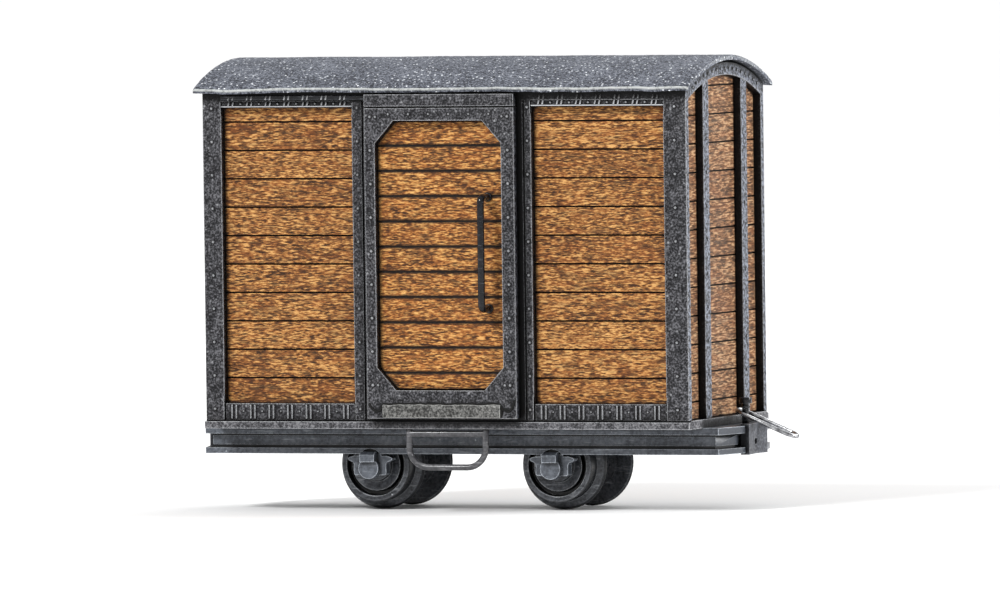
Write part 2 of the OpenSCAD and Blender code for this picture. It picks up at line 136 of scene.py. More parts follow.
class Finish:
    """A procedural material, built up node by node. Its patterns are laid out in millimetres."""

    def __init__(self, name, **sockets):
        self.material = bpy.data.materials.new(name)
        self.material.use_nodes = True
        self.tree = self.material.node_tree
        self.shader = self.tree.nodes["Principled BSDF"]
        for socket, value in sockets.items():
            self.shader.inputs[socket.replace("_", " ")].default_value = value
        place = self.node("ShaderNodeTexCoord")
        self.mm = self.vector("SCALE", place.outputs["Object"], scale=1 / MM)

    def node(self, kind, **settings):
        made = self.tree.nodes.new(kind)
        for key, value in settings.items():
            setattr(made, key, value)
        return made

    def put(self, socket, value):
        """A socket takes another node's output, or a plain value."""
        if isinstance(value, bpy.types.NodeSocket):
            self.tree.links.new(value, socket)
        else:
            socket.default_value = value

    def vector(self, operation, a, b=None, scale=None):
        made = self.node("ShaderNodeVectorMath", operation=operation)
        self.put(made.inputs[0], a)
        if b is not None:
            self.put(made.inputs[1], b)
        if scale is not None:
            self.put(made.inputs["Scale"], scale)
        return made.outputs["Vector"]

    def math(self, operation, a, b=0.0, clamp=False):
        made = self.node("ShaderNodeMath", operation=operation, use_clamp=clamp)
        self.put(made.inputs[0], a)
        self.put(made.inputs[1], b)
        return made.outputs[0]

    def noise(self, stretch, detail, roughness, place=None):
        """Noise with so many features to the millimetre along X, Y and Z."""
        made = self.node("ShaderNodeTexNoise")
        self.put(made.inputs["Vector"], self.vector("MULTIPLY", place or self.mm, stretch))
        made.inputs["Scale"].default_value = 1.0
        made.inputs["Detail"].default_value = detail
        made.inputs["Roughness"].default_value = roughness
        return made.outputs[0]

    def specks(self, per_mm, size):
        """1 in small round spots, 0 elsewhere."""
        made = self.node("ShaderNodeTexVoronoi")
        self.put(made.inputs["Vector"], self.mm)
        made.inputs["Scale"].default_value = per_mm
        return self.ramp(made.outputs["Distance"], size * 0.6, size, 1.0, 0.0)

    def ramp(self, value, low, high, start=0.0, end=1.0):
        """From start to end as the value goes from low to high, and level beyond them."""
        made = self.node("ShaderNodeMapRange")
        self.put(made.inputs["Value"], value)
        limits = {"From Min": low, "From Max": high, "To Min": start, "To Max": end}
        for key, number in limits.items():
            made.inputs[key].default_value = number
        return made.outputs[0]

    def colours(self, value, *stops):
        """A colour ramp through stops of (place, red, green, blue)."""
        made = self.node("ShaderNodeValToRGB")
        self.put(made.inputs[0], value)
        elements = made.color_ramp.elements
        while len(elements) < len(stops):
            elements.new(0.5)
        for element, stop in zip(elements, stops):
            element.position = stop[0]
            element.color = (*stop[1:], 1.0)
        return made.outputs[0]

    def mix(self, share, a, b):
        """Colour a, turning into colour b as the share goes from 0 to 1."""
        made = self.node("ShaderNodeMix", data_type="RGBA")
        self.put(made.inputs[0], share)
        for socket, value in ((made.inputs[6], a), (made.inputs[7], b)):
            self.put(socket, value if isinstance(value, bpy.types.NodeSocket) else (*value, 1.0))
        return made.outputs[2]

    def attribute(self, name):
        """A value that the piece's points hold."""
        return self.node("ShaderNodeAttribute", attribute_name=name).outputs["Fac"]

    def edges(self, radius):
        """1 on sharp outer and inner edges, falling to 0 within the radius in millimetres."""
        rounded = self.node("ShaderNodeBevel", samples=4)
        rounded.inputs["Radius"].default_value = radius * MM
        plain = self.node("ShaderNodeNewGeometry").outputs["Normal"]
        made = self.node("ShaderNodeVectorMath", operation="DOT_PRODUCT")
        self.put(made.inputs[0], rounded.outputs[0])
        self.put(made.inputs[1], plain)
        return self.ramp(made.outputs["Value"], 0.995, 0.8)

    def painted_shade_in_crevices(self, reach, low, high):
        """Painted shade: 1 deep in corners and seams, falling to 0 in the open."""
        made = self.node("ShaderNodeAmbientOcclusion", samples=8)
        made.inputs["Distance"].default_value = reach * MM
        return self.ramp(made.outputs["AO"], low, high, 1.0, 0.0)

    def facing(self, axis, low, high):
        """1 on faces that look along an axis of the piece, 0 on the others."""
        parts = self.node("ShaderNodeSeparateXYZ")
        self.put(parts.inputs[0], self.node("ShaderNodeTexCoord").outputs["Normal"])
        return self.ramp(self.math("ABSOLUTE", parts.outputs[axis]), low, high)

    def band(self, low, high, fade):
        """1 between two heights of the piece, 0 above and below them."""
        parts = self.node("ShaderNodeSeparateXYZ")
        self.put(parts.inputs[0], self.mm)
        away = self.math("ABSOLUTE", self.math("SUBTRACT", parts.outputs["Z"], (low + high) / 2))
        return self.ramp(away, (high - low) / 2, (high - low) / 2 + fade, 1.0, 0.0)

    def bump(self, height, depth):
        """Surface relief of so many millimetres."""
        made = self.node("ShaderNodeBump")
        made.inputs["Strength"].default_value = 1.0
        made.inputs["Distance"].default_value = depth * MM
        self.put(made.inputs["Height"], height)
        self.put(self.shader.inputs["Normal"], made.outputs[0])

    def done(self, colour, roughness):
        self.put(self.shader.inputs["Base Color"], colour)
        self.put(self.shader.inputs["Roughness"], roughness)
        return self.material


PALE_BLUE = (0.3, 0.33, 0.4)
BRIGHT_SPECK = (0.85, 0.88, 0.92)
PALE_FELT = (0.52, 0.54, 0.53)
SHADE_BLACK = (0.01, 0.01, 0.012)


def scaled(colour, amount):
    """A darker shade of a colour."""
    return tuple(channel * amount for channel in colour)


def wood(name, along, dark, mid, light, pale):
    """Thin oiled planks: streaks along the grain, dark pores, worn pale ends and planks that differ.

    along is the axis that the planks run along, and each plank's own tint also shifts its pattern.
    """
    f = Finish(name, Specular_IOR_Level=0.25)
    each = f.attribute("board")
    shift = f.node("ShaderNodeCombineXYZ")
    for socket, step in zip(shift.inputs, (37.0, 23.0, 51.0)):
        f.put(socket, f.math("MULTIPLY", each, step))
    place = f.vector("ADD", f.mm, shift.outputs[0])

    def grained(length, across):
        return (length, across, across) if along == "X" else (across, 0.5 * length, 0.8 * across)

    def swing(value, amount):
        return f.math("MULTIPLY", f.math("SUBTRACT", value, 0.5), amount)

    streaks = f.noise(grained(1.5, 7.5), 3.0, 0.6, place)
    fibres = f.noise(grained(2.5, 11.0), 2.0, 0.6, f.vector("ADD", place, (3.0, 7.0, 1.0)))
    clouds = f.noise(grained(0.3, 0.8), 3.0, 0.5, place)
    pores = f.noise(grained(1.5, 9.0), 2.0, 0.5, f.vector("ADD", place, (5.0, 9.0, 3.0)))
    pores = f.ramp(pores, 0.57, 0.66)
    tone = f.math("ADD", swing(streaks, 1.6), swing(fibres, 2.4))
    tone = f.math("ADD", tone, swing(clouds, 0.45))
    tone = f.math("ADD", tone, swing(each, 0.12))
    tone = f.math("ADD", tone, 0.5)
    colour = f.colours(tone, (0.14, *dark), (0.42, *mid), (0.6, *light), (0.88, *pale))
    reddish = f.ramp(f.noise(grained(0.5, 2.4), 2.0, 0.5, place), 0.45, 0.7, 0.0, 0.3)
    colour = f.mix(reddish, colour, (light[0], light[1] * 0.72, light[2] * 0.6))
    dull = f.noise(grained(0.9, 3.2), 3.0, 0.6, f.vector("ADD", place, (1.0, 2.0, 8.0)))
    dull = f.ramp(dull, 0.52, 0.66, 0.0, 0.45)
    colour = f.mix(dull, colour, (mid[0] * 0.62, mid[1] * 0.95, mid[2] * 1.5))
    colour = f.mix(f.math("MULTIPLY", pores, 0.8), colour, dark)
    rim = f.math("MULTIPLY", f.attribute("rim"), f.ramp(fibres, 0.35, 0.65, 0.2, 0.8), clamp=True)
    colour = f.mix(rim, colour, pale)
    # Painted shade in corners and reveals, together with the dark joints between planks
    shade_and_joints = f.math("MAXIMUM", f.painted_shade_in_crevices(0.35, 0.56, 0.82), f.attribute("seam"))
    colour = f.mix(shade_and_joints, colour, scaled(dark, 0.12))
    relief_height = f.math("SUBTRACT", f.math("ADD", streaks, fibres), f.math("MULTIPLY", pores, 0.7))
    f.bump(relief_height, 0.03)
    return f.done(colour, f.ramp(streaks, 0.2, 0.8, 0.8, 0.6))


def painted(name, dark, mid, light, edge, roughness, grit=0.03, speck=0.3, ribs=0.0, ends=0.0):
    """Mottled grey paint with grit in it, pale specks, painted shade in the corners and worn pale edges.

    grit is the depth of its relief in millimetres and speck is how bright the specks are. ribs adds upright
    streaks, and ends paints light and shade onto the faces towards the wagon's two ends: a darker ground of
    painted shade under pale blue blotches of painted light.
    """
    f = Finish(name, Specular_IOR_Level=0.2)
    mottle = f.noise((1.9, 1.9, 1.9), 5.0, 0.75)
    grain = f.noise((7.0, 7.0, 7.0), 2.0, 0.6)
    tone = f.math("ADD", f.math("MULTIPLY", mottle, 0.4), f.math("MULTIPLY", grain, 0.6))
    if ribs:
        upright = f.noise((2.6, 2.6, 0.25), 2.0, 0.5)
        tone = f.math("ADD", tone, f.math("MULTIPLY", f.math("SUBTRACT", upright, 0.5), ribs))
    colour = f.colours(tone, (0.41, *dark), (0.5, *mid), (0.62, *light))
    if ends:
        # Painted light and shade: faces towards the ends are darkened, then given pale blue blotches of
        # painted light
        painted_light_blotches = f.ramp(f.noise((5.0, 3.6, 4.5), 3.0, 0.7), 0.45, 0.58, 0.0, ends)
        at_ends = f.facing("X", 0.6, 0.8)
        colour = f.mix(f.math("MULTIPLY", at_ends, 0.6), colour, dark)
        colour = f.mix(f.math("MULTIPLY", at_ends, painted_light_blotches), colour, PALE_BLUE)
    dots = f.math("MULTIPLY", f.specks(2.0, 0.2), f.ramp(mottle, 0.46, 0.54, 0.0, speck))
    colour = f.mix(dots, colour, edge)
    wear = f.math("MULTIPLY", f.edges(0.11), f.ramp(grain, 0.36, 0.46, 0.5, 1.0), clamp=True)
    # Worn pale edges, and the painted highlight on rivets' tops
    colour = f.mix(f.math("MAXIMUM", wear, f.attribute("rim")), colour, edge)
    # Painted shade in corners and round rivet feet, and the dark joints and cracks that pieces mark
    shade_and_joints = f.math("MAXIMUM", f.painted_shade_in_crevices(1.0, 0.74, 0.96), f.attribute("seam"))
    colour = f.mix(shade_and_joints, colour, scaled(dark, 0.3))
    f.bump(tone, grit)
    return f.done(colour, f.ramp(grain, 0.3, 0.7, roughness + 0.1, roughness - 0.1))


def felt(name):
    """Blue-grey roofing felt: fine grit with bright mica-like specks."""
    f = Finish(name, Specular_IOR_Level=0.3)
    clouds = f.noise((0.35, 0.35, 0.35), 3.0, 0.5)
    grit = f.noise((4.6, 4.6, 4.6), 4.0, 0.75)
    fine = f.noise((9.0, 9.0, 9.0), 2.0, 0.6)
    tone = f.math("ADD", f.math("MULTIPLY", grit, 0.55), f.math("MULTIPLY", fine, 0.45))
    tone = f.math("ADD", tone, f.math("MULTIPLY", f.math("SUBTRACT", clouds, 0.5), 0.12))
    colour = f.colours(
        tone, (0.43, 0.022, 0.024, 0.03), (0.5, 0.078, 0.085, 0.108), (0.57, 0.2, 0.215, 0.25)
    )
    bright = f.math("MULTIPLY", f.specks(2.9, 0.25), f.ramp(grit, 0.47, 0.5))
    colour = f.mix(bright, colour, BRIGHT_SPECK)
    rim = f.ramp(f.attribute("rim"), 0.4, 0.9)
    rim = f.math("MULTIPLY", rim, f.ramp(grit, 0.35, 0.5, 0.5, 1.0), clamp=True)
    colour = f.mix(rim, colour, PALE_FELT)
    # Painted shade in hollows and under overhangs, nearly black
    colour = f.mix(f.painted_shade_in_crevices(1.2, 0.3, 0.7), colour, SHADE_BLACK)
    f.bump(tone, 0.045)
    return f.done(colour, f.ramp(grit, 0.3, 0.7, 0.85, 0.65))


def moulded(name, dark, light, edge, roughness, shine, worn=1.0, shaded_tread=None, end_face_shade=0.0, shaded_grooves=()):
    """Dark moulded plastic: a faint skin texture, scuffs, painted shade and edges rubbed a little pale.

    worn is how pale the edges are. The other three paint shade: treads and other faces that turn away from
    Y take the darker colour given for them, faces towards the wagon's ends are darkened by the share given,
    and dark bands are painted between each pair of heights given for the chassis's groove lines.
    """
    f = Finish(name, Specular_IOR_Level=shine)
    skin = f.noise((4.5, 4.5, 4.5), 3.0, 0.65)
    clouds = f.noise((0.7, 0.7, 0.7), 3.0, 0.5)
    scuffs = f.ramp(f.noise((0.7, 2.6, 4.5), 3.0, 0.6), 0.58, 0.72, 0.0, 0.4)
    tone = f.math("ADD", f.math("MULTIPLY", skin, 0.6), f.math("MULTIPLY", clouds, 0.4))
    colour = f.colours(tone, (0.38, *dark), (0.62, *light))
    colour = f.mix(scuffs, colour, scaled(edge, 0.6))
    dots = f.math("MULTIPLY", f.specks(1.1, 0.1), f.ramp(skin, 0.5, 0.56, 0.0, 0.8))
    colour = f.mix(dots, colour, edge)
    # Painted shade: faces that turn away from Y take the darker colour given for treads
    if shaded_tread:
        colour = f.mix(f.facing("Y", 0.4, 0.8), shaded_tread, colour)
    # Painted shade on the faces towards the wagon's ends
    if end_face_shade:
        colour = f.mix(f.math("MULTIPLY", f.facing("X", 0.5, 0.9), end_face_shade), colour, dark)
    wear = f.math("MULTIPLY", f.edges(0.1), f.ramp(skin, 0.38, 0.5, 0.5 * worn, worn), clamp=True)
    colour = f.mix(wear, colour, edge)
    # Painted shade in corners and hollows
    colour = f.mix(f.painted_shade_in_crevices(0.5, 0.5, 0.85), colour, scaled(dark, 0.1))
    # Painted shade in bands between each pair of heights
    for low, high in shaded_grooves:
        colour = f.mix(f.band(low, high, 0.03), colour, scaled(dark, 0.1))
    f.bump(skin, 0.014)
    return f.done(colour, f.ramp(clouds, 0.3, 0.7, roughness + 0.12, roughness - 0.08))


def metal(name, dark, light, roughness, scratches=(1.0, 1.0, 9.0)):
    """Metal with drawing marks along one way and a little tarnish."""
    f = Finish(name, Metallic=1.0)
    marks = f.noise(scratches, 4.0, 0.6)
    tarnish = f.noise((0.8, 0.8, 0.8), 4.0, 0.6)
    colour = f.colours(tarnish, (0.35, *dark), (0.6, *light))
    f.bump(marks, 0.006)
    return f.done(colour, f.ramp(marks, 0.3, 0.7, roughness - 0.06, roughness + 0.12))


# Colours from dark to light, and then the colour of worn edges or ends
FINISHES = {
    "wall_wood": wood(
        "wall_wood", "X",
        (0.035, 0.014, 0.006), (0.175, 0.066, 0.017), (0.34, 0.142, 0.036), (0.62, 0.34, 0.115),
    ),
    "end_wood": wood(
        "end_wood", "Y",
        (0.05, 0.025, 0.013), (0.14, 0.064, 0.027), (0.235, 0.115, 0.053), (0.45, 0.28, 0.15),
    ),
    "door_wood": wood(
        "door_wood", "X",
        (0.035, 0.014, 0.006), (0.195, 0.07, 0.016), (0.385, 0.156, 0.036), (0.66, 0.36, 0.115),
    ),
    "floor_wood": wood(
        "floor_wood", "X",
        (0.03, 0.016, 0.01), (0.11, 0.06, 0.03), (0.2, 0.12, 0.06), (0.36, 0.24, 0.14),
    ),
    "frame_grey": painted(
        "frame_grey",
        (0.003, 0.003, 0.004), (0.025, 0.025, 0.028), (0.14, 0.14, 0.152), (0.55, 0.56, 0.58),
        roughness=0.5, ends=0.62,
    ),
    "plinth_grey": painted(
        "plinth_grey",
        (0.02, 0.02, 0.022), (0.078, 0.078, 0.086), (0.19, 0.19, 0.2), (0.5, 0.51, 0.53),
        roughness=0.55, ribs=0.3,
    ),
    "kick_grey": painted(
        "kick_grey",
        (0.02, 0.02, 0.019), (0.075, 0.075, 0.072), (0.2, 0.2, 0.192), (0.5, 0.5, 0.48),
        roughness=0.55,
    ),
    "buffer_grey": painted(
        "buffer_grey",
        (0.025, 0.027, 0.033), (0.052, 0.056, 0.067), (0.1, 0.106, 0.123), (0.4, 0.41, 0.44),
        roughness=0.42, grit=0.012, speck=0.2,
    ),
    "roof_felt": felt("roof_felt"),
    "chassis_plastic": moulded(
        "chassis_plastic",
        (0.036, 0.041, 0.051), (0.115, 0.128, 0.15), (0.6, 0.65, 0.71),
        roughness=0.36, shine=0.4, end_face_shade=0.8, shaded_grooves=CHASSIS_GROOVES,
    ),
    "step_grey": moulded(
        "step_grey",
        (0.025, 0.025, 0.029), (0.08, 0.08, 0.087), (0.6, 0.6, 0.62),
        roughness=0.26, shine=0.6, worn=0.35,
    ),
    "wheel_black": moulded(
        "wheel_black",
        (0.012, 0.013, 0.016), (0.08, 0.085, 0.096), (0.6, 0.63, 0.66),
        roughness=0.3, shine=0.3, shaded_tread=(0.007, 0.008, 0.01),
    ),
    "dark_fittings": moulded(
        "dark_fittings",
        (0.003, 0.003, 0.004), (0.01, 0.011, 0.014), (0.3, 0.32, 0.36),
        roughness=0.18, shine=0.3, worn=0.25,
    ),
    "axle_steel": metal("axle_steel", (0.2, 0.2, 0.21), (0.42, 0.42, 0.43), 0.32),
    "bright_wire": metal("bright_wire", (0.1, 0.1, 0.11), (0.75, 0.76, 0.78), 0.2, (1.0, 5.0, 5.0)),
    "weight_iron": metal("weight_iron", (0.2, 0.19, 0.18), (0.36, 0.35, 0.34), 0.45),
    "screw_steel": metal("screw_steel", (0.4, 0.4, 0.4), (0.6, 0.6, 0.61), 0.28, (6.0, 6.0, 2.0)),
}

NODE_SLOTS = {part["node"]: part["material_slot"] for part in frame["record"]["subparts"]}


def dress(node, width):
    """A CAD node takes its slot's finish, and its edges are softened by a bevel of that width."""
    piece = frame["nodes"][node]
    for holder in piece.material_slots:
        holder.material = FINISHES[NODE_SLOTS[node]]
    weld = piece.modifiers.new("weld", "WELD")
    weld.merge_threshold = 0.001 * MM
    soften = piece.modifiers.new("soften", "BEVEL")
    soften.width = width * MM
    soften.segments = 2
    soften.limit_method = "ANGLE"
    soften.angle_limit = math.radians(35)


# ---------------------------------------------------------------- shapes


class Shape:
    """Points in millimetres and faces, gathered and then made into one piece.

    Each point holds three values for the finishes: board differs from plank to plank, rim is 1 on worn pale
    edges and gives rivets' tops a painted highlight, and seam is 1 in dark joints and gives rivets' feet
    painted shade.
    """

    def __init__(self):
        self.points = []
        self.faces = []
        self.values = {"board": [], "rim": [], "seam": []}

    def point(self, place, board=0.5, rim=0.0, seam=0.0):
        self.points.append(Vector(place))
        for key, value in (("board", board), ("rim", rim), ("seam", seam)):
            self.values[key].append(value)
        return len(self.points) - 1

    def tube(self, rings):
        """Rings of points joined into a closed solid, with a face on each end."""
        for a, b in zip(rings, rings[1:]):
            for i in range(len(a)):
                j = (i + 1) % len(a)
                self.faces.append((a[i], a[j], b[j], b[i]))
        self.faces.append(tuple(reversed(rings[0])))
        self.faces.append(tuple(rings[-1]))

    def dome(self, place, out, radius, height):
        """A rivet: a low dome with painted shade round its foot and a painted highlight on top, standing
        out along one axis from a place on a face.
        """
        out = Vector(out).normalized()
        side = out.orthogonal().normalized()
        up = out.cross(side)
        sides = 8
        # Share of the radius, height above the face, paleness and darkness of each ring: painted shade at
        # the foot, a painted highlight near the top
        profile = (
            (1.25, -0.03, 0.0, 1.0),
            (1.2, 0.012, 0.0, 1.0),
            (0.85, height * 0.45, 0.0, 0.8),
            (0.6, height * 0.85, 0.15, 0.0),
        )
        rings = []
        for share, rise, rim, seam in profile:
            ring = []
            for k in range(sides):
                turn = math.tau * k / sides
                spoke = side * math.cos(turn) + up * math.sin(turn)
                spot = Vector(place) + spoke * radius * share + out * rise
                ring.append(self.point(spot, rim=rim, seam=seam))
            rings.append(ring)
        self.tube(rings)
        # The last ring closes in a point rather than in a flat face
        self.faces.pop()
        # The tip is the palest point of the painted highlight
        top = self.point(Vector(place) + out * height, rim=0.6)
        last = rings[-1]
        for i in range(sides):
            self.faces.append((last[i], last[(i + 1) % sides], top))

    def block(self, low, high, pale):
        """A box between two corners, as pale as a worn edge by that share."""
        rings = []
        for y in (low[1], high[1]):
            corners = ((low[0], low[2]), (high[0], low[2]), (high[0], high[2]), (low[0], high[2]))
            rings.append([self.point((x, y, z), rim=pale) for x, z in corners])
        self.tube(rings)

    def rib(self, x, z, back, front, lean=0.0, pale=0.5):
        """A narrow rib on a front face, from its foot at x up, leaning along X.

        back and front are distances towards the front, and pale is how pale its front edge is.
        """
        foot, ridge = 0.09, 0.05
        rings = []
        for k in (0, 1):
            middle = x + lean * k
            ring = [
                (middle - foot, -back), (middle + foot, -back),
                (middle + ridge, -front), (middle - ridge, -front),
            ]
            rings.append([self.point((a, b, z[k]), rim=pale if b == -front else 0.0) for a, b in ring])
        self.tube(rings)

    def ribbon(self, path, back, front, half):
        """A thin dark line on a front face, through places of (x, z), narrow at both ends."""
        rings = []
        for k, (x, z) in enumerate(path):
            before, after = path[max(k - 1, 0)], path[min(k + 1, len(path) - 1)]
            way = Vector((after[0] - before[0], after[1] - before[1])).normalized()
            wide = half * (0.4 if k in (0, len(path) - 1) else 1.0)
            across = Vector((-way.y, way.x)) * wide
            corners = ((-1, back), (1, back), (1, front), (-1, front))
            rings.append([
                self.point((x + side * across.x, y, z + side * across.y), seam=1.0) for side, y in corners
            ])
        self.tube(rings)

    def make(self, name, finish, body, replaces=(), turned=False):
        """The piece itself, riding on a body and standing for the nodes that it replaces."""
        mesh = bpy.data.meshes.new(name)
        places = [(TURNED @ p if turned else p) * MM for p in self.points]
        mesh.from_pydata(places, [], self.faces)
        for key, values in self.values.items():
            held = mesh.attributes.new(key, "FLOAT", "POINT")
            held.data.foreach_set("value", [float(v) for v in values])
        mesh.materials.append(FINISHES[finish])
        made = bpy.data.objects.new(name, mesh)
        bpy.context.scene.collection.objects.link(made)
        level_normals(mesh)
        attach(made, body)
        if replaces:
            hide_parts(*replaces)


def level_normals(mesh):
    """Faces look outwards, and the shading is smooth except over sharp edges."""
    work = bmesh.new()
    work.from_mesh(mesh)
    bmesh.ops.recalc_face_normals(work, faces=work.faces)
    work.to_mesh(mesh)
    work.free()
    mesh.shade_smooth()
    mesh.set_sharp_from_angle(angle=math.radians(38))


def relief(length, height, seed):
    """Gentle unevenness of a plank's face."""
    wave = noise.noise(Vector((length * 0.5, height * 2.2, seed * 7.3)))
    ripple = noise.noise(Vector((length * 1.6, height * 6.5, seed * 3.1 + 20.0)))
    return UNEVEN * (0.65 * wave + 0.35 * ripple)


def plank(shape, place, ends, low, high, thick, gap, corner, seed, top=None, soft=0.0, step=0.3):
    """One plank with rounded long edges and a tongue on its upper edge, so no light shows between planks.

    place turns (along, up, out) into a point, ends gives the plank's two ends at a height,
    and top gives its upper edge where that isn't level. soft darkens the rounded long edges,
    and step is the length between cross sections.
    """
    bottom_h = low + gap / 2
    top_h = high - gap / 2
    dip = min(corner, 0.35 * thick)
    rows = max(3, round((top_h - bottom_h) / 0.25))
    inner = [bottom_h + corner + (top_h - bottom_h - 2 * corner) * k / rows for k in range(rows + 1)]
    # Height, distance out from the face and darkness of each point of the cross section
    section = [(bottom_h, -dip, 1.0), (bottom_h + 0.3 * corner, -0.3 * dip, soft)]
    section += [(h, 0.0, 0.0) for h in inner]
    section += [(top_h - 0.3 * corner, -0.3 * dip, soft), (top_h, -dip, 1.0)]
    # The tongue, in the middle of the thickness
    section += [(top_h, -thick * 0.4, 1.0), (top_h + gap, -thick * 0.4, 1.0)]
    section += [(top_h + gap, -thick * 0.6, 1.0), (top_h, -thick * 0.6, 1.0)]
    section += [(top_h, dip - thick, 1.0)]
    section += [(h, -thick, 0.0) for h in (top_h - corner, bottom_h + corner)]
    section += [(bottom_h, dip - thick, 1.0)]
    left, right = ends(low), ends(high)
    span = max(left[1], right[1]) - min(left[0], right[0])
    columns = max(4, round(span / step))
    tint = random.random()
    rings = []
    for c in range(columns + 1):
        share = c / columns
        at_end = c in (0, columns)
        ring = []
        for h, d, seam in section:
            first, last = ends(min(max(h, low), high))
            along = first + (last - first) * share
            up = h
            if top is not None:
                up = bottom_h + (h - bottom_h) * (top(along) - bottom_h) / (top_h - bottom_h)
            if d == 0.0:
                out = relief(along, up, seed) - UNEVEN
            else:
                out = d
            if at_end and d > -dip:
                out = min(out, -0.5 * dip)
            ring.append(shape.point(place(along, up, out), tint, float(at_end), seam))
        rings.append(ring)
    shape.tube(rings)


def planked_wall(name, x, node, turned):
    """Planks behind one side of the wagon, between two places along X."""
    shape = Shape()
    levels = [FLOOR_Z, *WALL_SEAMS, WALL_TOP]
    for k, (low, high) in enumerate(zip(levels, levels[1:])):
        plank(
            shape,
            lambda along, up, out: (along, -(SIDE_Y - FRAME_T) - out, up),
            lambda h: x,
            low,
            high,
            PANEL_T,
            SEAM_W,
            PLANK_CORNER,
            x[0] + 3.7 * k + 50.0 * turned,
        )
    shape.make(name, "wall_wood", "wagon", (node,), turned)


def planked_end(name, node, turned):
    """Planks of one end wall, the highest one cut to the arch."""
    shape = Shape()
    crown = ROOF_CENTRE_Z + WALL_TOP_R
    levels = [FLOOR_Z, *END_SEAMS, crown]

    def arch(y):
        return ROOF_CENTRE_Z + math.sqrt(WALL_TOP_R**2 - y**2)

    for k, (low, high) in enumerate(zip(levels, levels[1:])):
        plank(
            shape,
            lambda along, up, out: (END_X[1] + out, along, up),
            lambda h: (-END_Y, END_Y),
            low,
            high,
            END_X[1] - END_X[0],
            SEAM_W,
            PLANK_CORNER,
            5.3 * k + 31.0 * turned,
            top=arch if high == crown else None,
        )
    shape.make(name, "end_wood", "wagon", (node,), turned)


def opening_ends(height):
    """The two sides of the door's eight-sided opening at a height."""
    low = OPEN_Z[0] + OPEN_CORNER[1]
    high = OPEN_Z[1] - OPEN_CORNER[1]
    past = max(low - height, height - high, 0.0)
    cut = OPEN_CORNER[0] * min(past / OPEN_CORNER[1], 1.0)
    return OPEN_X[0] + cut, OPEN_X[1] - cut


def planked_door(name, body, node, turned):
    """Planks of one door, with soft seams between them."""
    shape = Shape()
    levels = [OPEN_Z[0], *DOOR_SEAMS, OPEN_Z[1]]
    for k, (low, high) in enumerate(zip(levels, levels[1:])):
        plank(
            shape,
            lambda along, up, out: (along, -DOOR_WOOD_Y - out, up),
            opening_ends,
            low,
            high,
            DOOR_WOOD_Y - DOOR_IN,
            SEAM_W,
            DOOR_PLANK_CORNER,
            2.9 * k + 11.0 + 70.0 * turned,
            soft=0.75,
        )
    shape.make(name, "door_wood", body, (node,), turned)


def floor_planks():
    """Floor boards along the wagon."""
    low, high = (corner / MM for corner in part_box("floor_boards"))
    edges = [low.y, *[k * FLOOR_BOARD_PITCH for k in range(-4, 5)], high.y]
    shape = Shape()
    for k, (a, b) in enumerate(zip(edges, edges[1:])):
        plank(
            shape,
            lambda along, up, out: (along, up, high.z + out),
            lambda h: (low.x, high.x),
            a,
            b,
            high.z - low.z,
            FLOOR_BOARD_GAP,
            PLANK_CORNER,
            4.1 * k + 90.0,
            step=0.8,
        )
    shape.make("floor_planks", "floor_wood", "wagon", ("floor_boards",))


def felt_roof():
    """The roof: a curved sheet with gritty felt on top and a slightly wavy lower edge."""
    half_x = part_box("roof")[1].x / MM
    half_angle = math.asin(ROOF_Y / ROOF_R)
    columns, rows = 220, 104
    eaves = 0.94
    shape = Shape()
    rings = []
    for c in range(columns + 1):
        x = -half_x + 2 * half_x * c / columns
        at_end = c in (0, columns)
        long_wave = noise.noise(Vector((x * 0.16, 3.0, 0.0)))
        short_wave = noise.noise(Vector((x * 0.6, 9.0, 0.0)))
        wave = 0.10 * long_wave + 0.05 * short_wave
        ring = []
        for top in (True, False):
            for k in range(rows + 1):
                share = k / rows if top else 1 - k / rows
                side = 2 * share - 1
                edge = max(0.0, (abs(side) - eaves) / (1 - eaves))
                angle = half_angle * side * (1 - 0.004 * edge * (1 + 8 * wave))
                if top:
                    grit = noise.noise(Vector((x * 2.4, side * 26.0, 1.0)))
                    swell = noise.noise(Vector((x * 0.22, side * 2.2, 5.0)))
                    radius = ROOF_R - 0.05 + 0.022 * grit + 0.03 * swell
                    radius -= 0.10 if at_end else 0.0
                    radius -= 0.06 if k in (0, rows) else 0.0
                    rim = 1.0 if k in (0, rows) else 0.5 * at_end
                else:
                    radius = ROOF_R - ROOF_T + 0.02
                    rim = 0.0
                drop = edge * edge * 1.1 * wave
                place = (x, math.sin(angle) * radius, ROOF_CENTRE_Z + math.cos(angle) * radius + drop)
                ring.append(shape.point(place, rim=rim))
        rings.append(ring)
    shape.tube(rings)
    shape.make("roof_felt", "roof_felt", "wagon", ("roof",))


